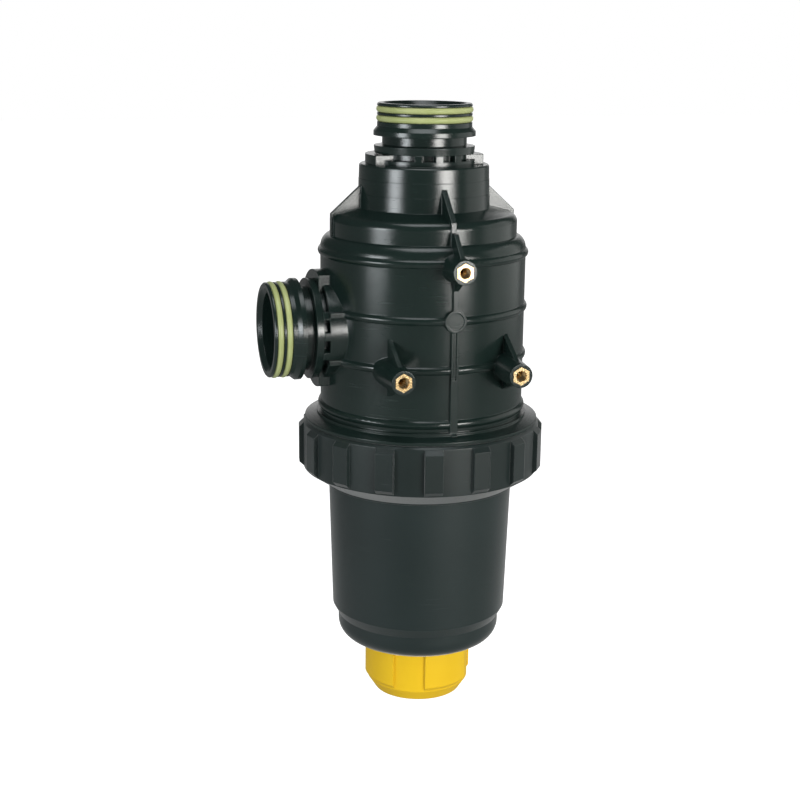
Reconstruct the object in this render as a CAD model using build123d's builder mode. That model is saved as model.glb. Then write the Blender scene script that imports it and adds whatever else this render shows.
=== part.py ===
from build123d import *
import os
from math import cos, radians, sin, sqrt, tan

# Suction filter of a crop sprayer, in millimetres, with Z up.
# A moulded head carries a fork coupling on top and one on its side. A ring nut clamps the bowl under
# the head, and the bowl holds the cartridge. A rod stands on the yellow cap, runs through the cartridge
# and holds the shut-off valve in the collar open. When the cap is unscrewed, the valve closes.
# The origin is the centre of the top coupling's mouth. The mounting bosses point along -Y and the side
# coupling points along -X. Heights named z_ are measured from the origin, so they are negative.

# Fork couplings, the same on top and on the side, with depths measured from the mouth
bore_r = 29.0
mouth_flare = 3.4
coupling_wall = 7.6
rim_chamfer = 0.9
o_ring_wire = 5.0
o_ring_proud = 0.6
o_ring_depth = 4.7
o_ring_pitch = 6.9
groove_play = 0.1
front_flange_depth = 17.6
front_flange_proud = 2.7
flange_lead = 3.2
front_flange_length = 6.8
fork_gap = 7.6
coupling_neck_wall = 3.6
back_flange_proud = 2.4
back_flange_length = 5.6
flange_draft = 0.6

# Crown behind each coupling's back flange: a raised half ring, a low wall and three posts
crown_gap = 8.3
crown_wall_width = 6.2
crown_width = 6.8
crown_height = 7.5
crown_cut = 15.0
crown_wall = 3.2
crown_wall_height = 3.7
post_width = 6.0
post_angle = 24.0
post_count = 3

# Collar and shoulders of the head
collar_width = 5.8
collar_height = 33.1
collar_draft = 1.2
collar_step = 0.15
collar_band = 11.0
chamber_wall = 5.9
shoulder_width = 21.4
shoulder_height = 21.0
shoulder_slope = 4.0
shoulder_round = 6.0
step_width = 7.4
step_height = 10.0
wall = 4.2

# Shell, hoop beads and flange of the head
shell_height = 130.0
bead_wire = 7.0
bead_proud = 2.0
bead_drops = (2.6, 44.9, 82.4)
foot_bead_rise = 6.1
root_proud = 3.0
root_height = 2.0
skirt_proud = 5.8
skirt_length = 32.0
flange_width = 6.6
flange_slope = 2.4
flange_edge = 2.4

# Front rib and the fins between collar and shoulder
rib_width = 4.0
rib_proud = 2.4
groove_width = 2.0
groove_depth = 0.8
groove_drop = 89.5
disc_r = 8.4
disc_proud = 3.2
dimple_r = 6.4
dimple_depth = 0.6
fin_width = 4.0
fin_top_drop = 15.0
fin_fall = 22.0
fin_proud = 1.6

# Side coupling, with its drop below the top of the shell
side_drop = 61.0
side_sink = 0.1
ledge_proud = 2.4
ledge_thick = 3.4

# Mounting bosses with brass inserts, on a circle that faces -Y, with its drop below the top of the shell
boss_circle = 105.0
boss_count = 3
boss_drop = 58.0
boss_standoff = 21.3
boss_wall = 2.85
boss_draft = 2.2
boss_taper_length = 32.0
boss_length = 58.0
boss_fin_width = 3.4
boss_fin_rise = 25.0
boss_fin_fall = 18.0
boss_fin_setback = 3.0
insert_flats = 12.3
insert_length = 18.0
insert_proud = 0.5
insert_hole_r = 4.25
insert_play = 0.05

# Shut-off valve
ceiling_thick = 4.1
ceiling_drop = 7.0
valve_lift = 12.0
seat_rise = 4.5
seat_bore_width = 1.0
seat_lip_width = 3.5
seat_lip_height = 2.5
seat_play = 0.1
seat_gasket_thick = 1.2
seat_flange_width = 10.5
seat_flange_thick = 3.0
poppet_overlap = 3.5
poppet_thick = 4.0
poppet_dome_height = 1.6
poppet_seal_thick = 4.0
seal_spigot_r = 12.0
seal_nut_gap = 6.0
seal_nut_thick = 4.0
stem_r = 6.0
stem_overhang = 6.0
stem_pin_r = 3.0
stem_pin_length = 4.0
slide_play = 0.08
seat_hub_wall = 3.9
seat_hub_length = 9.0
spider_rib = 3.0
spider_count = 3
spring_wire = 2.4
spring_inset = 2.5
spring_turns = 2.0

# Cartridge
spigot_length = 10.8
spigot_step = 0.8
spigot_wall = 5.1
cartridge_seal_wire = 2.6
running_gap = 0.3
cartridge_gap = 3.1
cartridge_drop = 0.6
head_ring_height = 12.0
foot_ring_height = 12.0
foot_bore_r = 26.0
cage_wall = 4.0
cage_rib_width = 4.0
cage_rib_count = 8
cage_hoop_count = 7
cage_hoop_height = 4.0
cage_hoop_inset = 0.4
mesh_gap = 0.1
mesh_thick = 0.6
mesh_slot = 4.0
foot_gasket_thick = 2.0

# Ring nut
nut_play = 0.4
nut_wall = 7.6
nut_top_gap = 0.5
nut_top_chamfer = 2.0
nut_lip_thick = 12.6
nut_lip_gap = 0.3
nut_lip_play = 0.5
nut_lip_width = 3.0
nut_lip_height = 1.2
nut_foot_height = 12.2
grip_count = 16
grip_proud = 3.6
grip_sink = 3.0
grip_width = 14.0
grip_top_drop = 2.2
grip_chamfer = 3.4
grip_foot_rise = 0.9

# Bowl
bowl_inset = 2.0
bowl_wall = 3.6
bowl_taper = 1.78
bowl_taper_length = 117.9
bowl_chamfer = 4.6
bowl_chamfer_height = 8.4
bowl_foot_height = 19.8
bowl_round = 13.0
bowl_floor = 5.0
seat_ring_height = 9.5
bowl_flange_play = 0.3
bowl_flange_thick = 6.0
bowl_gap = 0.5
bowl_gasket_wire = 4.0
seat_ring_inset = 2.0
seat_ring_width = 10.0
neck_outer_r = 33.0
neck_wall = 6.0
neck_length = 26.6
cap_seal_wire = 3.2
cap_seal_rise = 6.0
guide_hub_wall = 4.9
guide_hub_length = 18.0

# Yellow cap and rod
cap_play = 0.5
cap_wall = 7.9
cap_lobe_proud = 2.2
cap_lobe_angle = 55.0
cap_lobe_start = 81.0
cap_lobe_count = 4
cap_lobe_length = 33.0
cap_lobe_chamfer = 3.0
cap_length = 46.0
cap_gap = 0.4
cap_floor = 7.6
cap_base_inset = 5.9
cap_base_height = 9.0
cap_boss_margin = 3.0
cap_boss_height = 4.0
rod_r = 6.0
rod_foot_width = 5.0
rod_foot_thick = 4.0
rod_gap = 0.3

# Reach of a cut past the face that it opens
cut_over = 1.0

# Depths of a coupling's steps, measured from its mouth
gap_top = front_flange_depth + front_flange_length
gap_base = gap_top + fork_gap
back_flange_end = gap_base + back_flange_length
coupling_length = back_flange_end + crown_gap
o_ring_depths = (o_ring_depth, o_ring_depth + o_ring_pitch)

# Radii worked out from the sizes above
neck_r = bore_r + coupling_neck_wall
spigot_r = bore_r + coupling_wall
front_flange_r = spigot_r + front_flange_proud
back_flange_r = spigot_r + back_flange_proud
crown_wall_r = neck_r + crown_wall_width
crown_r = crown_wall_r + crown_width
collar_r = crown_r + collar_width
chamber_r = collar_r - chamber_wall
shoulder_r = collar_r + shoulder_width
shell_r = shoulder_r + step_width
root_r = shell_r + root_proud
skirt_r = shell_r + skirt_proud
flange_r = skirt_r + flange_width
groove_root_r = spigot_r + o_ring_proud - o_ring_wire - groove_play
o_ring_r = spigot_r + o_ring_proud - o_ring_wire / 2
boss_circle_r = boss_circle / 2
boss_tip_r = insert_flats / 2 + boss_wall
boss_root_r = boss_tip_r + boss_draft
seat_bore_r = bore_r + seat_bore_width
seat_flange_r = chamber_r + seat_flange_width
seat_hub_r = stem_r + slide_play + seat_hub_wall
poppet_r = seat_bore_r + seat_lip_width + poppet_overlap
seal_nut_r = seat_bore_r - seal_nut_gap
spring_r = poppet_r - spring_inset
spigot_outer_r = chamber_r - seat_play - spigot_step
nut_bore_r = skirt_r + nut_play
nut_r = nut_bore_r + nut_wall
grip_r = nut_r + grip_proud
bowl_r = shell_r - wall - bowl_inset
bowl_flange_r = skirt_r - bowl_flange_play
bowl_gasket_r = (shell_r - wall + skirt_r) / 2
nut_lip_r = bowl_r + nut_lip_width
taper_r = bowl_r - bowl_taper_length * tan(radians(bowl_taper))
foot_r = taper_r - bowl_chamfer
cartridge_r = foot_r - bowl_wall - cartridge_gap
cartridge_bore_r = spigot_outer_r + 2 * running_gap
mesh_outer_r = cartridge_r - cage_wall - mesh_gap
seat_ring_r = cartridge_r - seat_ring_inset
neck_bore_r = neck_outer_r - neck_wall
cap_bore_r = neck_outer_r + cap_play
cap_r = cap_bore_r + cap_wall
cap_lobe_r = cap_r + cap_lobe_proud
cap_base_r = cap_r - cap_base_inset
guide_hub_r = rod_r + slide_play + guide_hub_wall
rod_foot_r = rod_r + rod_foot_width
cap_boss_r = rod_foot_r + cap_boss_margin

# Reaches of the side coupling and the bosses from the main axis
side_reach = shell_r + coupling_length - side_sink
boss_reach = shell_r + boss_standoff

# Heights worked out from the lengths above
z_crown = -coupling_length
z_collar_base = z_crown - collar_height
z_step_top = z_collar_base - shoulder_height
z_shell_top = z_step_top - step_height
z_shell_base = z_shell_top - shell_height
z_root = z_shell_base - root_height
z_flange_base = z_root - flange_slope - flange_edge
z_skirt_end = z_flange_base - skirt_length
z_bowl_top = z_skirt_end - bowl_gap
z_bowl_flange_base = z_bowl_top - bowl_flange_thick
z_taper_end = z_bowl_flange_base - bowl_taper_length
z_foot_top = z_taper_end - bowl_chamfer_height
z_bowl_base = z_foot_top - bowl_foot_height
z_bowl_floor = z_bowl_base + bowl_floor
z_neck_end = z_bowl_base - neck_length
z_nut_top = z_flange_base - nut_top_gap
z_nut_lip = z_bowl_flange_base - nut_lip_gap
z_nut_base = z_nut_lip - nut_lip_thick
z_nut_side = z_nut_base + nut_foot_height
z_cap_top = z_bowl_base - cap_gap
z_cap_base = z_cap_top - cap_length
z_cap_floor = z_cap_base + cap_floor
z_rod_foot = z_cap_floor + cap_boss_height
z_side = z_shell_top - side_drop
z_boss = z_shell_top - boss_drop
z_ceiling = z_crown - ceiling_thick
z_seat_floor = z_collar_base - ceiling_drop
z_lip = z_seat_floor + seat_rise
z_seal_open = z_lip + valve_lift
z_poppet_base = z_seal_open + poppet_seal_thick
z_poppet_top = z_poppet_base + poppet_thick
z_seat_flange = z_seat_floor - seat_gasket_thick
z_spigot_top = z_seat_flange - seat_flange_thick
z_spigot_end = z_spigot_top - spigot_length
z_stem_end = z_spigot_end - stem_overhang
z_rod_top = z_stem_end - rod_gap
z_cartridge_top = z_spigot_top - cartridge_drop
z_cage_top = z_cartridge_top - head_ring_height
z_cartridge_base = z_bowl_floor + seat_ring_height + foot_gasket_thick
z_cage_base = z_cartridge_base + foot_ring_height

# Frame of the side coupling's mouth, with its Y axis out of the mouth
side_plane = Plane(origin=(-side_reach, 0, z_side), x_dir=(0, 0, 1), z_dir=(0, -1, 0))


def turn(points, plane=Plane.XZ, mode=Mode.ADD):
    """Turn a closed outline of (radius, height) points about the plane's Y axis."""
    with BuildSketch(plane) as outline:
        with BuildLine():
            Polyline(*points, close=True)
        make_face()
    revolve(outline.sketch, axis=Axis(plane.origin, plane.y_dir), mode=mode)


def ring(radius, height, wire, plane=Plane.XZ):
    """Turn a round wire section into a ring, for seals and beads."""
    with BuildSketch(plane) as section:
        with Locations((radius, height)):
            Circle(wire / 2)
    revolve(section.sketch, axis=Axis(plane.origin, plane.y_dir))


def spider(hub, reach, top, length, count):
    """A round hub on the axis held by thin radial ribs, from the height top downwards."""
    with BuildSketch(Plane.XY.offset(top)) as star:
        Circle(hub)
        with PolarLocations(reach / 2, count):
            Rectangle(reach, spider_rib)
    extrude(star.sketch, amount=-length)


def coupling(plane):
    """The male fork coupling: spigot, O-ring grooves, two flanges with the fork gap, and the crown."""
    with BuildPart() as spigot:
        turn([
            (0, 0),
            (spigot_r - rim_chamfer, 0),
            (spigot_r, -rim_chamfer),
            (spigot_r, -front_flange_depth),
            (front_flange_r, -front_flange_depth - flange_lead),
            (front_flange_r, -gap_top),
            (neck_r, -gap_top - flange_draft),
            (neck_r, -gap_base + flange_draft),
            (back_flange_r, -gap_base),
            (back_flange_r - flange_draft, -back_flange_end),
            (neck_r, -back_flange_end),
            (neck_r, -coupling_length),
            (0, -coupling_length),
        ], plane)
        for depth in o_ring_depths:
            half = o_ring_wire / 2 + groove_play
            turn([
                (groove_root_r, half - depth),
                (spigot_r + o_ring_proud, half - depth),
                (spigot_r + o_ring_proud, -half - depth),
                (groove_root_r, -half - depth),
            ], plane, Mode.SUBTRACT)
        crown_foot = plane.origin - plane.y_dir * coupling_length
        crown_plane = Plane(origin=crown_foot, x_dir=(0, -1, 0), z_dir=plane.y_dir)
        with BuildSketch(crown_plane) as back_half:
            Circle(crown_r)
            with Locations((crown_cut + crown_r, 0)):
                Rectangle(2 * crown_r, 2 * crown_r, mode=Mode.SUBTRACT)
        extrude(back_half.sketch, amount=crown_height)
        with BuildSketch(crown_plane) as low_wall:
            Circle(crown_wall_r)
            Circle(crown_wall_r - crown_wall, mode=Mode.SUBTRACT)
        extrude(low_wall.sketch, amount=crown_wall_height)
        with BuildSketch(crown_plane) as posts:
            with PolarLocations(crown_wall_r / 2, post_count, start_angle=-post_angle,
                                angular_range=2 * post_angle, endpoint=True):
                Rectangle(crown_wall_r, post_width)
            Circle(crown_wall_r, mode=Mode.INTERSECT)
        extrude(posts.sketch, amount=crown_gap)
    return spigot.part


def fin_profile():
    """Side outline of a fin that falls from the collar past the shoulder's edge, as (radius, height)."""
    fin_r = shoulder_r + fin_proud
    z_top = z_crown - fin_top_drop
    inner_r = collar_r - chamber_wall / 2
    return [
        (inner_r, z_top),
        (collar_r - collar_draft, z_top),
        (fin_r, z_top - fin_fall),
        (fin_r, z_step_top),
        (inner_r, z_step_top),
    ]


def boss_frame(index):
    """Frame at a boss tip, with its Y axis along the boss and out of its face."""
    angle = radians(90 + index * 360 / boss_count)
    centre = (boss_circle_r * cos(angle), -boss_reach, boss_circle_r * sin(angle) + z_boss)
    return Plane(origin=centre, x_dir=(1, 0, 0), z_dir=(0, 0, -1))


def finish(piece, name):
    """Name a finished piece and write its file."""
    piece.part.label = name
    export_step(piece.part, "parts/" + name + ".step")


os.makedirs("parts", exist_ok=True)

# Fins of the head, one on each side
with BuildPart() as head_fins:
    for angle in (0, 90, 180, 270):
        with BuildSketch(Plane.XZ.rotated((0, 0, angle))) as outline:
            with BuildLine():
                Polyline(*fin_profile(), close=True)
            make_face()
        extrude(outline.sketch, amount=fin_width / 2, both=True)

# Couplings, made once for each plane
top_coupling = coupling(Plane.XZ)
side_coupling = coupling(side_plane)

# Head: couplings, collar, shoulders, shell, ribs and bosses in one moulding
with BuildPart() as upper_body:
    with BuildSketch(Plane.XZ) as outline:
        with BuildLine():
            Polyline(
                (0, z_crown),
                (collar_r - collar_draft - rim_chamfer, z_crown),
                (collar_r - collar_draft, z_crown - rim_chamfer),
                (collar_r - 2 * collar_draft / 3 - collar_step, z_crown - collar_band),
                (collar_r - 2 * collar_draft / 3, z_crown - collar_band),
                (collar_r - collar_draft / 3 - collar_step, z_crown - 2 * collar_band),
                (collar_r - collar_draft / 3, z_crown - 2 * collar_band),
                (collar_r, z_collar_base),
                (shoulder_r - shoulder_round, z_collar_base - shoulder_slope),
            )
            ThreePointArc(
                (shoulder_r - shoulder_round, z_collar_base - shoulder_slope),
                (shoulder_r - shoulder_round * (1 - sin(radians(45))),
                 z_collar_base - shoulder_slope - shoulder_round * (1 - cos(radians(45)))),
                (shoulder_r, z_collar_base - shoulder_slope - shoulder_round),
            )
            Line((shoulder_r, z_collar_base - shoulder_slope - shoulder_round), (shoulder_r, z_step_top))
            EllipticalCenterArc((shoulder_r, z_shell_top), shell_r - shoulder_r, step_height, arc_size=90)
            Polyline(
                (shell_r, z_shell_top),
                (shell_r, z_shell_base),
                (root_r, z_shell_base),
                (root_r, z_root),
                (flange_r, z_root - flange_slope),
                (flange_r, z_flange_base),
                (skirt_r, z_flange_base),
                (skirt_r, z_skirt_end),
                (0, z_skirt_end),
                (0, z_crown),
            )
        make_face()
    revolve(outline.sketch, axis=Axis.Z)
    for drop in (*bead_drops, shell_height - foot_bead_rise):
        ring(shell_r + bead_proud - bead_wire / 2, z_shell_top - drop, bead_wire)
    add(top_coupling)
    add(head_fins.part)

    # Front rib from the step down to the flange, with a shallow groove below the disc
    z_disc = z_shell_top - bead_drops[1]
    z_groove_end = z_shell_top - groove_drop
    with BuildSketch(Plane.YZ) as rib_side:
        with BuildLine():
            Polyline(
                (-shoulder_r + wall, z_step_top),
                (-shoulder_r - fin_proud, z_step_top),
                (-shell_r - rib_proud, z_shell_top),
                (-shell_r - rib_proud, z_shell_base),
                (-root_r - rib_proud, z_root),
                (-shoulder_r + wall, z_root),
                close=True,
            )
        make_face()
    extrude(rib_side.sketch, amount=rib_width / 2, both=True)
    with BuildSketch(Plane.XZ.offset(shell_r - wall)) as lower_rib:
        with Locations((0, (z_disc + z_root) / 2)):
            Rectangle(rib_width + groove_width, z_disc - z_root)
    extrude(lower_rib.sketch, amount=wall + rib_proud)
    with BuildSketch(Plane.XZ.offset(shell_r + rib_proud - groove_depth)) as groove:
        with Locations((0, (z_disc + z_groove_end) / 2)):
            Rectangle(groove_width, z_disc - z_groove_end)
    extrude(groove.sketch, amount=wall, mode=Mode.SUBTRACT)
    with BuildSketch(Plane.XZ.offset(shell_r - wall)) as disc:
        with Locations((0, z_disc)):
            Circle(disc_r)
    extrude(disc.sketch, amount=wall + disc_proud)
    with BuildSketch(Plane.XZ.offset(shell_r + disc_proud - dimple_depth)) as dimple:
        with Locations((0, z_disc)):
            Circle(dimple_r)
    extrude(dimple.sketch, amount=wall, mode=Mode.SUBTRACT)

    # Side coupling on its tube, with the crown's back half and two beads carried up to it
    add(side_coupling)
    x_root = -side_reach + coupling_length
    with BuildSketch(Plane.YZ.offset(x_root)) as tube:
        with Locations((0, z_side)):
            Circle(crown_wall_r)
            Circle(crown_r)
        with Locations((-crown_cut - crown_r, z_side)):
            Rectangle(2 * crown_r, 4 * crown_r, mode=Mode.SUBTRACT)
        with Locations((0, z_side)):
            Circle(crown_wall_r)
    extrude(tube.sketch, amount=shell_r / 2)
    for drop in bead_drops[1:]:
        rise = z_shell_top - drop - z_side
        half = sqrt(crown_wall_r**2 - rise**2) + ledge_proud
        with BuildSketch(Plane.XY.offset(z_side + rise - ledge_thick / 2)) as ledge:
            with Locations((x_root - crown_wall_height, 0)):
                Rectangle(shell_r / 2, 2 * half, align=(Align.MIN, Align.CENTER))
        extrude(ledge.sketch, amount=ledge_thick)

    # Mounting bosses with a fin above and below each
    for index in range(boss_count):
        frame = boss_frame(index)
        turn([
            (0, 0),
            (boss_tip_r, 0),
            (boss_root_r, -boss_taper_length),
            (boss_root_r, -boss_length),
            (0, -boss_length),
        ], frame)
        web = Plane(origin=frame.origin, x_dir=(0, 1, 0), z_dir=(1, 0, 0))
        reach = boss_reach - sqrt(shell_r**2 - frame.origin.X**2)
        with BuildSketch(web) as fins:
            with BuildLine():
                Polyline(
                    (boss_fin_setback, boss_tip_r - boss_fin_setback),
                    (reach, boss_fin_rise),
                    (boss_length, boss_fin_rise),
                    (boss_length, -boss_fin_fall),
                    (reach, -boss_fin_fall),
                    (boss_fin_setback, boss_fin_setback - boss_tip_r),
                    close=True,
                )
            make_face()
        extrude(fins.sketch, amount=boss_fin_width / 2, both=True)

    # Hollow of the head: top bore, valve chamber, shoulders and shell
    turn([
        (0, cut_over),
        (bore_r + mouth_flare + cut_over, cut_over),
        (bore_r, -mouth_flare),
        (bore_r, z_ceiling),
        (chamber_r, z_ceiling),
        (chamber_r, z_seat_floor),
        (seat_flange_r + seat_flange_thick, z_seat_floor),
        (shoulder_r - wall, z_collar_base - shoulder_slope - shoulder_round - wall),
        (shoulder_r - wall, z_step_top - wall / 2),
        (shell_r - wall, z_shell_top - wall / 2),
        (shell_r - wall, z_skirt_end - cut_over),
        (0, z_skirt_end - cut_over),
    ], mode=Mode.SUBTRACT)

    # Bore of the side coupling and pockets for the inserts
    turn([
        (0, cut_over),
        (bore_r + mouth_flare + cut_over, cut_over),
        (bore_r, -mouth_flare),
        (bore_r, -side_reach + shell_r / 2),
        (0, -side_reach + shell_r / 2),
    ], side_plane, Mode.SUBTRACT)
    for index in range(boss_count):
        frame = boss_frame(index)
        with BuildSketch(Plane(origin=frame.origin, x_dir=(1, 0, 0), z_dir=(0, -1, 0))) as pocket:
            RegularPolygon(insert_flats / 2 + insert_play, 6, major_radius=False, rotation=30)
        extrude(pocket.sketch, amount=insert_proud - insert_length, mode=Mode.SUBTRACT)
finish(upper_body, "upper_body")

# O-rings of the couplings
for side_name, plane in (("top", Plane.XZ), ("side", side_plane)):
    for place, depth in zip(("outer", "inner"), o_ring_depths):
        with BuildPart() as o_ring:
            ring(o_ring_r, -depth, o_ring_wire, plane)
        finish(o_ring, side_name + "_o_ring_" + place)

# Hexagonal brass inserts with their threaded holes left plain
for index, name in enumerate(("insert_top", "insert_left", "insert_right")):
    frame = boss_frame(index)
    face_plane = Plane(origin=frame.origin + frame.y_dir * insert_proud, x_dir=(1, 0, 0), z_dir=(0, -1, 0))
    with BuildPart() as insert:
        with BuildSketch(face_plane) as section:
            RegularPolygon(insert_flats / 2, 6, major_radius=False, rotation=30)
            Circle(insert_hole_r, mode=Mode.SUBTRACT)
        extrude(section.sketch, amount=-insert_length)
    finish(insert, name)

# Valve seat: a ring screwed into the collar, with the seat lip, the cartridge spigot and a stem guide
with BuildPart() as valve_seat:
    thread_r = chamber_r - seat_play
    z_web = z_lip - seat_lip_height
    spigot_inner_r = spigot_outer_r - spigot_wall
    turn([
        (seat_bore_r, z_lip),
        (seat_bore_r + seat_lip_width, z_lip),
        (seat_bore_r + seat_lip_width, z_web),
        (thread_r, z_web),
        (thread_r, z_seat_flange),
        (seat_flange_r, z_seat_flange),
        (seat_flange_r, z_spigot_top),
        (spigot_outer_r, z_spigot_top),
        (spigot_outer_r, z_spigot_end),
        (spigot_inner_r, z_spigot_end),
        (spigot_inner_r, z_spigot_top - seat_flange_thick),
        (seat_bore_r, z_seat_flange),
    ])
    seal_half = cartridge_seal_wire / 2 + groove_play
    seal_root_r = spigot_outer_r + running_gap - cartridge_seal_wire - groove_play
    z_seal = (z_spigot_top + z_spigot_end) / 2
    turn([
        (seal_root_r, z_seal + seal_half),
        (spigot_outer_r + cut_over, z_seal + seal_half),
        (spigot_outer_r + cut_over, z_seal - seal_half),
        (seal_root_r, z_seal - seal_half),
    ], mode=Mode.SUBTRACT)
    z_hub_top = z_spigot_end + seat_hub_length
    spider(seat_hub_r, spigot_inner_r + spigot_wall / 4, z_hub_top, seat_hub_length, spider_count)
    with BuildSketch(Plane.XY.offset(z_hub_top)) as guide:
        Circle(stem_r + slide_play)
    extrude(guide.sketch, amount=-seat_hub_length, mode=Mode.SUBTRACT)
finish(valve_seat, "valve_seat")

with BuildPart() as seat_gasket:
    with BuildSketch(Plane.XY.offset(z_seat_floor)):
        Circle(seat_flange_r)
        Circle(chamber_r + seat_play, mode=Mode.SUBTRACT)
    extrude(amount=-seat_gasket_thick)
finish(seat_gasket, "seat_gasket")

with BuildPart() as cartridge_seal:
    ring(spigot_outer_r + running_gap - cartridge_seal_wire / 2, z_seal, cartridge_seal_wire)
finish(cartridge_seal, "cartridge_seal")

# Poppet: a domed disc with the spring's ledge, and a stem that slides in the seat's hub
with BuildPart() as valve_poppet:
    dome_r = spring_r - spring_wire
    turn([
        (0, z_stem_end),
        (stem_pin_r, z_stem_end),
        (stem_pin_r, z_stem_end + stem_pin_length),
        (stem_r, z_stem_end + stem_pin_length),
        (stem_r, z_seal_open - seal_nut_thick),
        (seal_spigot_r, z_seal_open - seal_nut_thick),
        (seal_spigot_r, z_poppet_base),
        (poppet_r, z_poppet_base),
        (poppet_r, z_poppet_top),
        (dome_r, z_poppet_top),
        (dome_r - poppet_dome_height, z_poppet_top + poppet_dome_height),
        (0, z_poppet_top + 2 * poppet_dome_height),
    ])
finish(valve_poppet, "valve_poppet")

with BuildPart() as poppet_seal:
    with BuildSketch(Plane.XY.offset(z_poppet_base)):
        Circle(poppet_r)
        Circle(seal_spigot_r, mode=Mode.SUBTRACT)
    extrude(amount=-poppet_seal_thick)
finish(poppet_seal, "poppet_seal")

with BuildPart() as seal_nut:
    with BuildSketch(Plane.XY.offset(z_seal_open)):
        RegularPolygon(seal_nut_r, 6)
        Circle(seal_spigot_r, mode=Mode.SUBTRACT)
    extrude(amount=-seal_nut_thick)
finish(seal_nut, "seal_nut")

with BuildPart() as valve_spring:
    spring_length = z_ceiling - z_poppet_top - spring_wire
    spring_foot = z_poppet_top + spring_wire / 2
    with BuildLine():
        Helix(spring_length / spring_turns, spring_length, spring_r, center=(0, 0, spring_foot))
    with BuildSketch(Plane(origin=(spring_r, 0, spring_foot), z_dir=(0, 1, 0))):
        Circle(spring_wire / 2)
    sweep(is_frenet=True)
finish(valve_spring, "valve_spring")

# Cartridge: two end rings, a ribbed cage and the mesh sleeve inside it
slot_inner_r = mesh_outer_r - mesh_thick - mesh_gap
slot_outer_r = mesh_outer_r + mesh_gap
with BuildPart() as cartridge_head:
    turn([
        (cartridge_bore_r, z_cartridge_top),
        (cartridge_r - rim_chamfer, z_cartridge_top),
        (cartridge_r, z_cartridge_top - rim_chamfer),
        (cartridge_r, z_cage_top),
        (slot_outer_r, z_cage_top),
        (slot_outer_r, z_cage_top + mesh_slot),
        (slot_inner_r, z_cage_top + mesh_slot),
        (slot_inner_r, z_cage_top),
        (cartridge_bore_r, z_cage_top),
    ])
finish(cartridge_head, "cartridge_head")

with BuildPart() as cartridge_foot:
    turn([
        (foot_bore_r, z_cartridge_base),
        (cartridge_r - rim_chamfer, z_cartridge_base),
        (cartridge_r, z_cartridge_base + rim_chamfer),
        (cartridge_r, z_cage_base),
        (slot_outer_r, z_cage_base),
        (slot_outer_r, z_cage_base - mesh_slot),
        (slot_inner_r, z_cage_base - mesh_slot),
        (slot_inner_r, z_cage_base),
        (foot_bore_r, z_cartridge_base + mesh_slot),
    ])
finish(cartridge_foot, "cartridge_foot")

with BuildPart() as cartridge_cage:
    cage_length = z_cage_top - z_cage_base
    with BuildSketch(Plane.XY.offset(z_cage_base)) as ribs:
        with PolarLocations(cartridge_r - cage_wall / 2, cage_rib_count):
            Rectangle(cage_wall, cage_rib_width)
    extrude(ribs.sketch, amount=cage_length)
    hoop_pitch = (cage_length - cage_hoop_height) / (cage_hoop_count - 1)
    for index in range(cage_hoop_count):
        with BuildSketch(Plane.XY.offset(z_cage_base + index * hoop_pitch)) as hoop:
            Circle(cartridge_r - cage_hoop_inset)
            Circle(cartridge_r - cage_wall, mode=Mode.SUBTRACT)
        extrude(hoop.sketch, amount=cage_hoop_height)
finish(cartridge_cage, "cartridge_cage")

with BuildPart() as cartridge_mesh:
    mesh_end = mesh_slot - mesh_gap
    with BuildSketch(Plane.XY.offset(z_cage_base - mesh_end)):
        Circle(mesh_outer_r)
        Circle(mesh_outer_r - mesh_thick, mode=Mode.SUBTRACT)
    extrude(amount=cage_length + 2 * mesh_end)
finish(cartridge_mesh, "cartridge_mesh")

with BuildPart() as foot_gasket:
    with BuildSketch(Plane.XY.offset(z_cartridge_base)):
        Circle(seat_ring_r)
        Circle(seat_ring_r - seat_ring_width, mode=Mode.SUBTRACT)
    extrude(amount=-foot_gasket_thick)
finish(foot_gasket, "foot_gasket")

# Ring nut with its grips and the lip that lifts the bowl's flange
with BuildPart() as ring_nut:
    lip_bore_r = bowl_r + nut_lip_play
    turn([
        (nut_bore_r, z_nut_top),
        (nut_r - nut_top_chamfer, z_nut_top),
        (nut_r, z_nut_top - nut_top_chamfer),
        (nut_r, z_nut_side),
        (nut_lip_r, z_nut_base + nut_lip_height),
        (nut_lip_r, z_nut_base),
        (lip_bore_r, z_nut_base),
        (lip_bore_r, z_nut_lip),
        (nut_bore_r, z_nut_lip),
    ])
    grip_angle = 180 / grip_count
    for index in range(grip_count):
        grip_plane = Plane.XZ.rotated((0, 0, grip_angle + index * 360 / grip_count))
        with BuildSketch(grip_plane) as grip:
            with BuildLine():
                Polyline(
                    (nut_r - grip_sink, z_nut_top - grip_top_drop),
                    (grip_r - grip_chamfer, z_nut_top - grip_top_drop),
                    (grip_r, z_nut_top - grip_top_drop - grip_chamfer),
                    (grip_r, z_nut_side + grip_foot_rise + grip_chamfer),
                    (nut_r, z_nut_side + grip_foot_rise),
                    (nut_r - grip_sink, z_nut_side + grip_foot_rise),
                    close=True,
                )
            make_face()
        extrude(grip.sketch, amount=grip_width / 2, both=True)
finish(ring_nut, "ring_nut")

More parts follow.
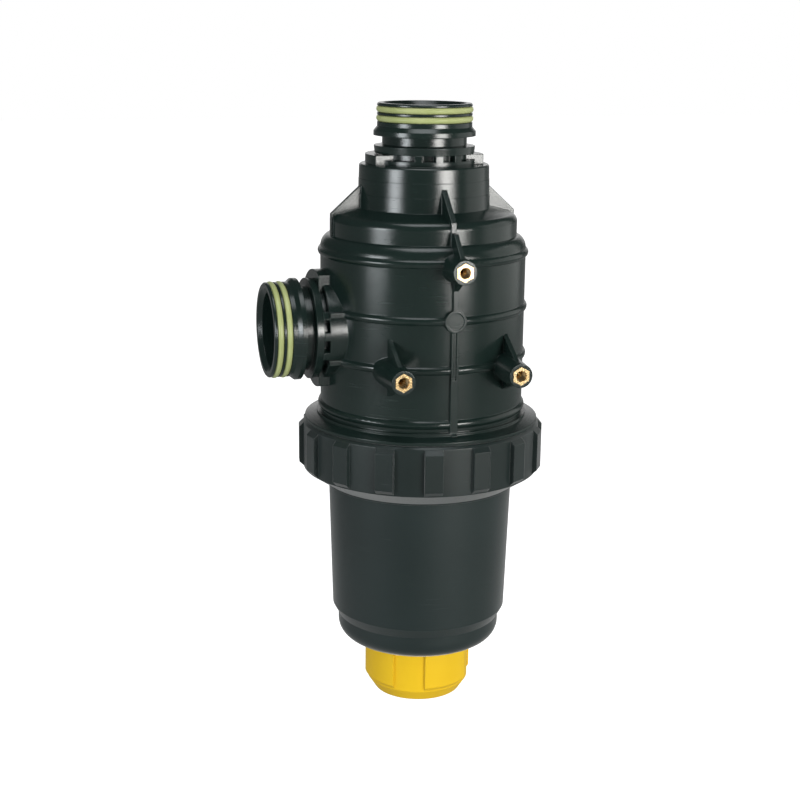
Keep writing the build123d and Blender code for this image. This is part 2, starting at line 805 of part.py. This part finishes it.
# Bowl: flange, tapered wall, chamfered foot, floor with the cartridge's seat ring, and the neck
with BuildPart() as bowl:
    inner_top_r = bowl_r - bowl_wall
    inner_taper_r = taper_r - bowl_wall
    with BuildSketch(Plane.XZ) as outline:
        with BuildLine():
            Polyline(
                (0, z_bowl_top),
                (bowl_flange_r, z_bowl_top),
                (bowl_flange_r, z_bowl_flange_base),
                (bowl_r, z_bowl_flange_base),
                (taper_r, z_taper_end),
                (foot_r, z_foot_top),
                (foot_r, z_bowl_base + bowl_round),
            )
            ThreePointArc(
                (foot_r, z_bowl_base + bowl_round),
                (foot_r - bowl_round * (1 - sin(radians(45))),
                 z_bowl_base + bowl_round * (1 - cos(radians(45)))),
                (foot_r - bowl_round, z_bowl_base),
            )
            Polyline((foot_r - bowl_round, z_bowl_base), (0, z_bowl_base), (0, z_bowl_top))
        make_face()
    revolve(outline.sketch, axis=Axis.Z)
    turn([
        (0, z_bowl_top + cut_over),
        (inner_top_r, z_bowl_top + cut_over),
        (inner_top_r, z_bowl_flange_base),
        (inner_taper_r, z_taper_end),
        (foot_r - bowl_wall, z_foot_top),
        (foot_r - bowl_wall, z_bowl_base + bowl_round),
        (foot_r - bowl_round, z_bowl_floor),
        (0, z_bowl_floor),
    ], mode=Mode.SUBTRACT)
    gasket_half = bowl_gasket_wire / 2 + groove_play
    z_gasket = z_skirt_end - running_gap - bowl_gasket_wire / 2
    turn([
        (bowl_gasket_r - gasket_half, z_bowl_top + cut_over),
        (bowl_gasket_r + gasket_half, z_bowl_top + cut_over),
        (bowl_gasket_r + gasket_half, z_gasket - gasket_half),
        (bowl_gasket_r - gasket_half, z_gasket - gasket_half),
    ], mode=Mode.SUBTRACT)
    with BuildSketch(Plane.XY.offset(z_bowl_floor - bowl_floor / 2)) as seat_ring:
        Circle(seat_ring_r)
        Circle(seat_ring_r - seat_ring_width, mode=Mode.SUBTRACT)
    extrude(seat_ring.sketch, amount=bowl_floor / 2 + z_cartridge_base - foot_gasket_thick - z_bowl_floor)
    with BuildSketch(Plane.XY.offset(z_bowl_floor)) as neck:
        Circle(neck_outer_r)
    extrude(neck.sketch, amount=z_neck_end - z_bowl_floor)
    with BuildSketch(Plane.XY.offset(z_bowl_floor)) as neck_bore:
        Circle(neck_bore_r)
    extrude(neck_bore.sketch, amount=z_neck_end - z_bowl_floor, mode=Mode.SUBTRACT)
    cap_seal_half = cap_seal_wire / 2 + groove_play
    z_cap_seal = z_neck_end + cap_seal_rise
    cap_seal_r = cap_bore_r - running_gap - cap_seal_wire / 2
    turn([
        (cap_seal_r - cap_seal_half, z_cap_seal + cap_seal_half),
        (neck_outer_r + cut_over, z_cap_seal + cap_seal_half),
        (neck_outer_r + cut_over, z_cap_seal - cap_seal_half),
        (cap_seal_r - cap_seal_half, z_cap_seal - cap_seal_half),
    ], mode=Mode.SUBTRACT)
    spider(guide_hub_r, neck_bore_r + neck_wall / 4, z_bowl_floor, guide_hub_length, spider_count)
    with BuildSketch(Plane.XY.offset(z_bowl_floor)) as guide:
        Circle(rod_r + slide_play)
    extrude(guide.sketch, amount=-guide_hub_length, mode=Mode.SUBTRACT)
finish(bowl, "bowl")

with BuildPart() as bowl_gasket:
    ring(bowl_gasket_r, z_gasket, bowl_gasket_wire)
finish(bowl_gasket, "bowl_gasket")

with BuildPart() as cap_seal:
    ring(cap_seal_r, z_cap_seal, cap_seal_wire)
finish(cap_seal, "cap_seal")

# Rod that stands on the cap, with a hole in its top that takes the pin of the poppet's stem
with BuildPart() as valve_rod:
    turn([
        (0, z_rod_foot),
        (rod_foot_r, z_rod_foot),
        (rod_foot_r, z_rod_foot + rod_foot_thick),
        (rod_r, z_rod_foot + rod_foot_thick),
        (rod_r, z_rod_top + stem_pin_length),
        (stem_pin_r + running_gap, z_rod_top + stem_pin_length),
        (stem_pin_r + running_gap, z_rod_top),
        (0, z_rod_top),
    ])
finish(valve_rod, "valve_rod")

# Yellow cap: a cup with four broad lobes and a boss that carries the rod
with BuildPart() as drain_cap:
    z_cap_bevel = z_cap_base + cap_base_height
    turn([
        (0, z_cap_top),
        (cap_r, z_cap_top),
        (cap_r, z_cap_bevel),
        (cap_base_r, z_cap_base),
        (0, z_cap_base),
    ])
    for index in range(cap_lobe_count):
        lobe_plane = Plane.XZ.rotated((0, 0, cap_lobe_start + index * 360 / cap_lobe_count))
        with BuildSketch(lobe_plane) as lobe:
            with BuildLine():
                Polyline(
                    ((cap_bore_r + cap_r) / 2, z_cap_top),
                    (cap_lobe_r, z_cap_top),
                    (cap_lobe_r, z_cap_top - cap_lobe_length),
                    (cap_r, z_cap_top - cap_lobe_length - cap_lobe_chamfer),
                    ((cap_bore_r + cap_r) / 2, z_cap_top - cap_lobe_length - cap_lobe_chamfer),
                    close=True,
                )
            make_face()
        revolve(lobe.sketch, axis=Axis.Z, revolution_arc=cap_lobe_angle)
    turn([
        (0, z_cap_top + cut_over),
        (cap_bore_r, z_cap_top + cut_over),
        (cap_bore_r, z_cap_floor),
        (cap_boss_r, z_cap_floor),
        (cap_boss_r, z_rod_foot),
        (0, z_rod_foot),
    ], mode=Mode.SUBTRACT)
finish(drain_cap, "drain_cap")
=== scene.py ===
import bpy
from math import radians
from mathutils import Matrix, Vector


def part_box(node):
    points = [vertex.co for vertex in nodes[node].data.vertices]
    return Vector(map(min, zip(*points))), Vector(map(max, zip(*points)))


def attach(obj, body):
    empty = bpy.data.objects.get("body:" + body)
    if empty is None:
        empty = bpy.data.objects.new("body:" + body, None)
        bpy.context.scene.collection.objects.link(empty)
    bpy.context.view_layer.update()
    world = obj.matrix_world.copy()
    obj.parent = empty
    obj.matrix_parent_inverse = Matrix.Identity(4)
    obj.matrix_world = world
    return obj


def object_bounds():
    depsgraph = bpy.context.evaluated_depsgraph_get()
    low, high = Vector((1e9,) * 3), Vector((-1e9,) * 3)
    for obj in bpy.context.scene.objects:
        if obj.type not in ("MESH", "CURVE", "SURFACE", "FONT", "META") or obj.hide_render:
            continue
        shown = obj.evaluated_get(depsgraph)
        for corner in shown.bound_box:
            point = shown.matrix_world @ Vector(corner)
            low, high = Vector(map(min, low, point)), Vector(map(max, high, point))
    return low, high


# Sprayer suction filter: black moulded head, grey ring nut and bowl, yellow cap, brass inserts.
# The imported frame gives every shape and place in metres, with Z up and the top coupling's mouth at Z 0.
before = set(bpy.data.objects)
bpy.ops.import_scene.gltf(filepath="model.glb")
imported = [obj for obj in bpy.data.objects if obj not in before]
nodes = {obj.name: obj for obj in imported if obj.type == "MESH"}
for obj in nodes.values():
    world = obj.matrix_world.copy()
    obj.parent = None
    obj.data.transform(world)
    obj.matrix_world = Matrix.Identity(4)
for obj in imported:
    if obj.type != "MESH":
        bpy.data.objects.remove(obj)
cad_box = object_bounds()

# Camera, in metres and degrees, with the lens and the sensor in millimetres
CAMERA_PLACE = (-0.3533, -1.1077, 0.0576)
CAMERA_HEADING = 16.87
CAMERA_TILT = 14.10
CAMERA_ROLL = 0.61
CAMERA_LENS = 67.28
CAMERA_SENSOR = 36.0

# The floor lies a little under the place that the cap reaches when it comes down with the bowl and the rod.
# The room is plain: white behind the object and dim on the camera's side.
FLOOR_DROP = 0.036
FLOOR_Z = cad_box[0][2] - FLOOR_DROP
FLOOR_SIZE = 16.0
FLOOR_WHITE = 0.9
FLOOR_GLOSS = 0.1
FLOOR_MATT = 0.55
FLOOR_MIRRORED = 0.2
ROOM_GLOSS = 0.06
ROOM_AMBIENT = 0.45
BACKDROP_EDGE = 0.88

# Upright softboxes round the camera's side: name, turn to the camera's right in degrees, distance, width,
# lower and upper end in metres, power in watts and colour. Their lower ends set how far down the head the
# highlights reach.
SOFTBOXES = (
    ("right_softbox", 39.0, 1.4, 0.60, -0.27, 0.10, 14.0, (1.0, 0.99, 0.96)),
    ("left_softbox", -50.0, 1.4, 0.50, -0.27, 0.10, 8.0, (0.92, 0.97, 1.0)),
    ("right_wall", 105.0, 1.5, 1.60, -0.45, 0.90, 5.0, (1.0, 1.0, 0.98)),
)
# The lamp overhead makes the upper bevels pale
TOP_LAMP_FORWARD = 0.35
TOP_LAMP_HEIGHT = 1.2
TOP_LAMP_SIZE = 0.8
TOP_LAMP_POWER = 7.0
TOP_LAMP_COLOUR = (0.93, 0.97, 1.0)

# Surfaces, with scales in turns per metre, depths in metres and the parts of the noise that each mask uses
NOISE_RANGE = (0.3, 0.7)
SCRATCH_RANGE = (0.62, 0.75)
PATCH_RANGE = (0.5, 0.65)
EDGE_RANGE = (0.7, 0.98)
EDGE_BREAK_RANGE = (0.35, 0.6)
RUBBER_BLOOM_RANGE = (0.35, 0.7)
TONE_SCALE = 14.0
SCRATCH_STRETCH = (40.0, 40.0, 900.0)
PATCH_SCALE = 30.0
EDGE_SAMPLES = 6
EDGE_BREAK_SCALE = 120.0
EDGE_BREAK_LEAST = 0.3
# Strength of the painted highlight along the outer edges
EDGE_HIGHLIGHT = 0.35
ROUGH_BELOW = 0.05
ROUGH_ABOVE = 0.06
SATIN_BELOW = 0.06
SATIN_ABOVE = 0.08
SCUFF_ROUGHNESS = 0.2
BLOOM_ROUGHNESS = 0.35
RUBBER_GRAIN_SCALE = 2200.0
RUBBER_BLOOM_SCALE = 60.0
RUBBER_GRAIN_DEPTH = 0.00004
STAIN_SCALE = 220.0
TOOL_LINE_DEPTH = 0.00003


# Materials

def node_group(name, inputs, outputs):
    """An empty shader group with named sockets: inputs as (name, type, default), outputs as (name, type)."""
    group = bpy.data.node_groups.new(name, "ShaderNodeTree")
    for socket_name, kind, default in inputs:
        socket = group.interface.new_socket(socket_name, in_out="INPUT", socket_type=kind)
        if default is not None:
            socket.default_value = default
    for socket_name, kind in outputs:
        group.interface.new_socket(socket_name, in_out="OUTPUT", socket_type=kind)
    start = group.nodes.new("NodeGroupInput")
    end = group.nodes.new("NodeGroupOutput")
    return group, start, end


def add_node(tree, kind, settings=None, **values):
    """A node with its settings and the plain values of its sockets."""
    node = tree.nodes.new(kind)
    for key, value in (settings or {}).items():
        setattr(node, key, value)
    for key, value in values.items():
        node.inputs[key.replace("_", " ")].default_value = value
    return node


def noise(tree, vector, scale, detail=2.0, roughness=0.5):
    node = add_node(tree, "ShaderNodeTexNoise", Scale=scale, Detail=detail, Roughness=roughness)
    tree.links.new(vector, node.inputs["Vector"])
    return node.outputs["Fac"]


def spread(tree, value, low, high, to_low, to_high):
    """Map a value from low..high to to_low..to_high, held at both ends."""
    node = add_node(tree, "ShaderNodeMapRange")
    tree.links.new(value, node.inputs["Value"])
    for key, number in (("From Min", low), ("From Max", high), ("To Min", to_low), ("To Max", to_high)):
        node.inputs[key].default_value = number
    return node.outputs["Result"]


def blend_colour(tree, factor, first, second, mode="MIX"):
    """Mix two colours, each a socket or a plain colour, by a factor that is a socket or a number."""
    node = add_node(tree, "ShaderNodeMix", {"data_type": "RGBA", "blend_type": mode})
    for key, given in ((0, factor), (6, first), (7, second)):
        if isinstance(given, bpy.types.NodeSocket):
            tree.links.new(given, node.inputs[key])
        else:
            node.inputs[key].default_value = given
    return node.outputs[2]


def calculate(tree, operation, first, second=0.0):
    node = add_node(tree, "ShaderNodeMath", {"operation": operation})
    for key, given in ((0, first), (1, second)):
        if isinstance(given, bpy.types.NodeSocket):
            tree.links.new(given, node.inputs[key])
        else:
            node.inputs[key].default_value = given
    return node.outputs[0]


def build_moulded_grain():
    """Moulded plastic: slow tone drift, a fine eroded grain and sparse scuffs."""
    tree, start, end = node_group(
        "moulded_grain",
        [("Vector", "NodeSocketVector", None), ("Grain Scale", "NodeSocketFloat", 1400.0),
         ("Scuff Amount", "NodeSocketFloat", 0.3)],
        [("Tone", "NodeSocketFloat"), ("Grain", "NodeSocketFloat"), ("Scuffs", "NodeSocketFloat")])
    vector = start.outputs["Vector"]
    tone = spread(tree, noise(tree, vector, TONE_SCALE, 3.0), *NOISE_RANGE, 0.0, 1.0)
    tree.links.new(tone, end.inputs["Tone"])
    grain = add_node(tree, "ShaderNodeTexNoise", Detail=2.0, Roughness=0.6)
    tree.links.new(vector, grain.inputs["Vector"])
    tree.links.new(start.outputs["Grain Scale"], grain.inputs["Scale"])
    tree.links.new(grain.outputs["Fac"], end.inputs["Grain"])
    stretch = add_node(tree, "ShaderNodeMapping")
    stretch.inputs["Scale"].default_value = SCRATCH_STRETCH
    tree.links.new(vector, stretch.inputs["Vector"])
    scratches = spread(tree, noise(tree, stretch.outputs["Vector"], 1.0, 3.0), *SCRATCH_RANGE, 0.0, 1.0)
    patches = spread(tree, noise(tree, vector, PATCH_SCALE, 2.0), *PATCH_RANGE, 0.0, 1.0)
    scuffs = calculate(tree, "MULTIPLY", scratches, patches)
    scuffs = calculate(tree, "MULTIPLY", scuffs, start.outputs["Scuff Amount"])
    tree.links.new(scuffs, end.inputs["Scuffs"])
    return tree


def build_edge_highlight():
    """Mask of the outer edges, from the angle between the true and the rounded normal and broken up by noise,
    for a painted highlight along them.
    """
    tree, start, end = node_group(
        "edge_highlight",
        [("Vector", "NodeSocketVector", None), ("Width", "NodeSocketFloat", 0.0006)],
        [("Mask", "NodeSocketFloat"), ("Normal", "NodeSocketVector")])
    rounded = add_node(tree, "ShaderNodeBevel", {"samples": EDGE_SAMPLES})
    tree.links.new(start.outputs["Width"], rounded.inputs["Radius"])
    true = add_node(tree, "ShaderNodeNewGeometry")
    dot = add_node(tree, "ShaderNodeVectorMath", {"operation": "DOT_PRODUCT"})
    tree.links.new(rounded.outputs["Normal"], dot.inputs[0])
    tree.links.new(true.outputs["Normal"], dot.inputs[1])
    edge = spread(tree, dot.outputs["Value"], *EDGE_RANGE, 1.0, 0.0)
    broken = noise(tree, start.outputs["Vector"], EDGE_BREAK_SCALE, 3.0)
    broken = spread(tree, broken, *EDGE_BREAK_RANGE, EDGE_BREAK_LEAST, 1.0)
    tree.links.new(calculate(tree, "MULTIPLY", edge, broken), end.inputs["Mask"])
    tree.links.new(rounded.outputs["Normal"], end.inputs["Normal"])
    return tree


moulded_grain = build_moulded_grain()
# The edge mask paints a highlight along the outer edges
edge_highlight = build_edge_highlight()


def new_material(name, **values):
    """A material with its Principled shader, set by plain values, and its object coordinates."""
    material = bpy.data.materials.new(name)
    material.use_nodes = True
    tree = material.node_tree
    tree.nodes.clear()
    output = tree.nodes.new("ShaderNodeOutputMaterial")
    shader = tree.nodes.new("ShaderNodeBsdfPrincipled")
    tree.links.new(shader.outputs["BSDF"], output.inputs["Surface"])
    for key, value in values.items():
        shader.inputs[key.replace("_", " ")].default_value = value
    place = tree.nodes.new("ShaderNodeTexCoord").outputs["Object"]
    return material, tree, shader, place


def use_group(tree, group, vector, **values):
    node = tree.nodes.new("ShaderNodeGroup")
    node.node_tree = group
    tree.links.new(vector, node.inputs["Vector"])
    for key, value in values.items():
        node.inputs[key.replace("_", " ")].default_value = value
    return node


def bump(tree, shader, height, distance, strength=1.0, normal=None):
    node = add_node(tree, "ShaderNodeBump", Distance=distance, Strength=strength)
    tree.links.new(height, node.inputs["Height"])
    if normal is not None:
        tree.links.new(normal, node.inputs["Normal"])
    tree.links.new(node.outputs["Normal"], shader.inputs["Normal"])


def moulded_plastic(name, dark, light, scuff_and_highlight, rough, shine, bloom,
                    grain_scale, grain_depth, edge_width, scuffs):
    """Moulded plastic in two close tones with lighter scuffs, a painted highlight along the edges and a faint
    bloom at a low angle.
    """
    material, tree, shader, place = new_material(
        name, IOR=1.5, Specular_IOR_Level=shine, Sheen_Weight=bloom, Sheen_Roughness=BLOOM_ROUGHNESS)
    grain = use_group(tree, moulded_grain, place, Grain_Scale=grain_scale, Scuff_Amount=scuffs)
    # The edge mask paints a highlight along the outer edges, in the same pale colour as the scuffs
    edge_light = use_group(tree, edge_highlight, place, Width=edge_width)
    colour = blend_colour(tree, grain.outputs["Tone"], dark, light)
    colour = blend_colour(tree, grain.outputs["Scuffs"], colour, scuff_and_highlight)
    colour = blend_colour(tree, calculate(tree, "MULTIPLY", edge_light.outputs["Mask"], EDGE_HIGHLIGHT), colour, scuff_and_highlight)
    tree.links.new(colour, shader.inputs["Base Color"])
    roughness = spread(tree, grain.outputs["Grain"], *NOISE_RANGE, rough - ROUGH_BELOW, rough + ROUGH_ABOVE)
    scuffed = calculate(tree, "MULTIPLY", grain.outputs["Scuffs"], SCUFF_ROUGHNESS)
    roughness = calculate(tree, "ADD", roughness, scuffed)
    tree.links.new(roughness, shader.inputs["Roughness"])
    bump(tree, shader, grain.outputs["Grain"], grain_depth, 1.0, edge_light.outputs["Normal"])
    return material


head_plastic = moulded_plastic(
    "head_plastic", (0.006, 0.0135, 0.0115, 1), (0.009, 0.018, 0.0155, 1), (0.05, 0.065, 0.06, 1),
    rough=0.19, shine=0.5, bloom=0.0, grain_scale=1500.0, grain_depth=0.00006, edge_width=0.0008, scuffs=0.3)
bowl_plastic = moulded_plastic(
    "bowl_plastic", (0.007, 0.0155, 0.015, 1), (0.010, 0.020, 0.0195, 1), (0.06, 0.075, 0.075, 1),
    rough=0.50, shine=0.4, bloom=0.6, grain_scale=1500.0, grain_depth=0.00005, edge_width=0.0008, scuffs=0.25)
nut_plastic = moulded_plastic(
    "nut_plastic", (0.005, 0.0115, 0.0105, 1), (0.008, 0.016, 0.015, 1), (0.07, 0.085, 0.085, 1),
    rough=0.36, shine=0.5, bloom=0.4, grain_scale=1200.0, grain_depth=0.00007, edge_width=0.001, scuffs=0.3)
cap_plastic = moulded_plastic(
    "cap_plastic", (0.76, 0.47, 0.008, 1), (0.81, 0.52, 0.012, 1), (0.90, 0.68, 0.08, 1),
    rough=0.42, shine=0.3, bloom=0.0, grain_scale=1300.0, grain_depth=0.00005, edge_width=0.001, scuffs=0.15)
cage_plastic = moulded_plastic(
    "cage_plastic", (0.03, 0.08, 0.25, 1), (0.045, 0.10, 0.30, 1), (0.15, 0.22, 0.45, 1),
    rough=0.45, shine=0.5, bloom=0.0, grain_scale=1200.0, grain_depth=0.00005, edge_width=0.0006, scuffs=0.15)


def rubber(name, dark, light, rough):
    """Moulded rubber with a pale bloom in patches and a fine grain."""
    material, tree, shader, place = new_material(name, IOR=1.45)
    grain = use_group(tree, moulded_grain, place, Grain_Scale=RUBBER_GRAIN_SCALE, Scuff_Amount=0.0)
    bloom = spread(tree, noise(tree, place, RUBBER_BLOOM_SCALE, 4.0), *RUBBER_BLOOM_RANGE, 0.0, 1.0)
    tree.links.new(blend_colour(tree, bloom, dark, light), shader.inputs["Base Color"])
    roughness = spread(tree, bloom, 0.0, 1.0, rough - SATIN_BELOW, rough + SATIN_ABOVE)
    tree.links.new(roughness, shader.inputs["Roughness"])
    bump(tree, shader, grain.outputs["Grain"], RUBBER_GRAIN_DEPTH)
    return material


ring_rubber = rubber("ring_rubber", (0.335, 0.375, 0.15, 1), (0.39, 0.425, 0.19, 1), 0.36)
seal_rubber = rubber("seal_rubber", (0.012, 0.012, 0.012, 1), (0.022, 0.022, 0.022, 1), 0.55)


def machined_metal(name, dark, light, rough, line_scale):
    """Turned or drawn metal with fine tool lines and a stained tone."""
    material, tree, shader, place = new_material(name, Metallic=1.0)
    stain = spread(tree, noise(tree, place, STAIN_SCALE, 4.0), *NOISE_RANGE, 0.0, 1.0)
    tree.links.new(blend_colour(tree, stain, dark, light), shader.inputs["Base Color"])
    lines = add_node(tree, "ShaderNodeMapping")
    lines.inputs["Scale"].default_value = line_scale
    tree.links.new(place, lines.inputs["Vector"])
    cut = noise(tree, lines.outputs["Vector"], 1.0, 2.0)
    roughness = spread(tree, cut, *NOISE_RANGE, rough - SATIN_BELOW, rough + SATIN_ABOVE)
    tree.links.new(roughness, shader.inputs["Roughness"])
    bump(tree, shader, cut, TOOL_LINE_DEPTH)
    return material


brass = machined_metal("brass", (0.62, 0.43, 0.20, 1), (0.80, 0.60, 0.33, 1), 0.24, (900.0, 4000.0, 900.0))
spring_steel = machined_metal(
    "spring_steel", (0.42, 0.42, 0.43, 1), (0.60, 0.60, 0.61, 1), 0.30, (1500.0, 1500.0, 1500.0))
mesh_steel = machined_metal(
    "mesh_steel", (0.35, 0.35, 0.36, 1), (0.55, 0.55, 0.56, 1), 0.35, (2500.0, 2500.0, 2500.0))

finishes = {
    "upper_body": head_plastic, "valve_seat": head_plastic, "valve_poppet": head_plastic,
    "seal_nut": head_plastic, "valve_rod": bowl_plastic, "bowl": bowl_plastic, "ring_nut": nut_plastic,
    "drain_cap": cap_plastic, "cartridge_head": cage_plastic, "cartridge_foot": cage_plastic,
    "cartridge_cage": cage_plastic, "cartridge_mesh": mesh_steel, "valve_spring": spring_steel,
    "insert_top": brass, "insert_left": brass, "insert_right": brass,
    "top_o_ring_outer": ring_rubber, "top_o_ring_inner": ring_rubber,
    "side_o_ring_outer": ring_rubber, "side_o_ring_inner": ring_rubber,
    "seat_gasket": seal_rubber, "cartridge_seal": seal_rubber, "bowl_gasket": seal_rubber,
    "cap_seal": seal_rubber, "foot_gasket": seal_rubber, "poppet_seal": seal_rubber,
}
for name, material in finishes.items():
    piece = nodes[name]
    piece.data.materials.clear()
    piece.data.materials.append(material)


# Threads in the brass inserts

THREAD_R = 0.00425
THREAD_PITCH = 0.0015
THREAD_TURNS = 11
THREAD_WIRE = 0.00065
THREAD_SINK = 0.00005
THREAD_STEPS = 24


def insert_thread(name, insert):
    """A V-shaped ridge wound along the hole of an insert, with its crest to the middle."""
    low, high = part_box(insert)
    bpy.ops.object.select_all(action="DESELECT")
    bpy.ops.mesh.primitive_circle_add(
        vertices=3, radius=THREAD_WIRE, fill_type="NGON", rotation=(radians(90), radians(-90), 0),
        location=(THREAD_R + THREAD_SINK - THREAD_WIRE / 2, 0, 0))
    ridge = bpy.context.object
    ridge.name = name
    bpy.ops.object.transform_apply(location=True, rotation=True, scale=True)
    winding = ridge.modifiers.new("winding", "SCREW")
    winding.axis = "Z"
    winding.angle = radians(360)
    winding.screw_offset = THREAD_PITCH
    winding.iterations = THREAD_TURNS
    winding.steps = THREAD_STEPS
    bpy.ops.object.modifier_apply(modifier="winding")
    ridge.rotation_euler = (radians(90), 0, 0)
    ridge.location = ((low[0] + high[0]) / 2, high[1], (low[2] + high[2]) / 2)
    bpy.ops.object.transform_apply(location=True, rotation=True, scale=True)
    ridge.data.materials.append(brass)
    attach(ridge, "head")


for place in ("top", "left", "right"):
    insert_thread("thread_" + place, "insert_" + place)


# Floor, light and camera

def mix_value(tree, factor, first, second):
    """Mix two numbers by a factor, each a socket or a plain number."""
    node = tree.nodes.new("ShaderNodeMix")
    for key, given in ((0, factor), (2, first), (3, second)):
        if isinstance(given, bpy.types.NodeSocket):
            tree.links.new(given, node.inputs[key])
        else:
            node.inputs[key].default_value = given
    return node.outputs[0]


def seen_directly(tree, path):
    """1 where the camera looks straight at a surface or through glass, and 0 in mirrors and for light."""
    return calculate(tree, "MAXIMUM", path.outputs["Is Camera Ray"], path.outputs["Is Transmission Ray"])


def camera_way():
    """Level direction from the object's axis to the camera."""
    way = Vector((CAMERA_PLACE[0], CAMERA_PLACE[1], 0.0))
    return way.normalized()


def build_world():
    """White for the camera and behind the object, dim on the camera's side, and a level ambient light."""
    world = bpy.data.worlds.new("studio")
    bpy.context.scene.world = world
    world.use_nodes = True
    tree = world.node_tree
    tree.nodes.clear()
    output = tree.nodes.new("ShaderNodeOutputWorld")
    light = add_node(tree, "ShaderNodeBackground", Color=(1, 1, 1, 1))
    path = tree.nodes.new("ShaderNodeLightPath")
    way = tree.nodes.new("ShaderNodeTexCoord").outputs["Generated"]
    facing = add_node(tree, "ShaderNodeVectorMath", {"operation": "DOT_PRODUCT"})
    facing.inputs[1].default_value = -camera_way()
    tree.links.new(way, facing.inputs[0])
    backdrop = spread(tree, facing.outputs["Value"], BACKDROP_EDGE, 1.0, ROOM_GLOSS, 1.0)
    strength = mix_value(tree, path.outputs["Is Glossy Ray"], ROOM_AMBIENT, backdrop)
    white = seen_directly(tree, path)
    tree.links.new(mix_value(tree, white, strength, 1.0), light.inputs["Strength"])
    tree.links.new(light.outputs[0], output.inputs["Surface"])


def build_floor():
    """Pale floor that the camera sees as white with the object's soft shadow, and that mirrors see dim."""
    bpy.ops.object.select_all(action="DESELECT")
    bpy.ops.mesh.primitive_plane_add(size=FLOOR_SIZE, location=(0, 0, FLOOR_Z))
    floor = bpy.context.object
    floor.name = "floor"
    material = bpy.data.materials.new("floor")
    material.use_nodes = True
    tree = material.node_tree
    tree.nodes.clear()
    output = tree.nodes.new("ShaderNodeOutputMaterial")
    matt = tree.nodes.new("ShaderNodeBsdfDiffuse")
    glow = tree.nodes.new("ShaderNodeEmission")
    path = tree.nodes.new("ShaderNodeLightPath")
    tone = mix_value(tree, path.outputs["Is Glossy Ray"], FLOOR_MATT, FLOOR_MIRRORED)
    tree.links.new(tone, matt.inputs["Color"])
    white = seen_directly(tree, path)
    pale = calculate(tree, "MULTIPLY", path.outputs["Is Glossy Ray"], FLOOR_GLOSS)
    tree.links.new(mix_value(tree, white, pale, FLOOR_WHITE), glow.inputs["Strength"])
    both = tree.nodes.new("ShaderNodeAddShader")
    tree.links.new(matt.outputs[0], both.inputs[0])
    tree.links.new(glow.outputs[0], both.inputs[1])
    tree.links.new(both.outputs[0], output.inputs["Surface"])
    floor.data.materials.append(material)


def area_lamp(name, width, height, power, colour):
    """An area lamp at the origin that shines down; the caller puts it in its place."""
    lamp = bpy.data.lights.new(name, "AREA")
    lamp.shape = "RECTANGLE"
    lamp.size, lamp.size_y = width, height
    lamp.energy = power
    lamp.color = colour
    holder = bpy.data.objects.new(name, lamp)
    bpy.context.scene.collection.objects.link(holder)
    return holder


def softbox(name, turn, distance, width, low, high, power, colour):
    """A soft upright lamp that faces the object's axis, turned to the camera's right, between two heights."""
    holder = area_lamp(name, width, high - low, power, colour)
    place = Matrix.Rotation(radians(turn), 3, "Z") @ camera_way() * distance
    place.z = (low + high) / 2
    holder.location = place
    holder.rotation_euler = Vector((-place.x, -place.y, 0.0)).to_track_quat("-Z", "Y").to_euler()



def top_lamp():
    """A square lamp that looks straight down, a little to the camera's side of the axis."""
    holder = area_lamp("top_lamp", TOP_LAMP_SIZE, TOP_LAMP_SIZE, TOP_LAMP_POWER, TOP_LAMP_COLOUR)
    holder.location = camera_way() * TOP_LAMP_FORWARD + Vector((0, 0, TOP_LAMP_HEIGHT))


build_world()
build_floor()
for settings in SOFTBOXES:
    softbox(*settings)
top_lamp()

view = bpy.data.cameras.new("camera")
view.lens = CAMERA_LENS
view.sensor_width = CAMERA_SENSOR
camera = bpy.data.objects.new("camera", view)
bpy.context.scene.collection.objects.link(camera)
aim = Matrix.Rotation(radians(-CAMERA_HEADING), 4, "Z")
aim = aim @ Matrix.Rotation(radians(90 - CAMERA_TILT), 4, "X")
aim = aim @ Matrix.Rotation(radians(CAMERA_ROLL), 4, "Z")
camera.matrix_world = Matrix.Translation(CAMERA_PLACE) @ aim
bpy.context.scene.camera = camera

bpy.context.scene.view_settings.view_transform = "Standard"
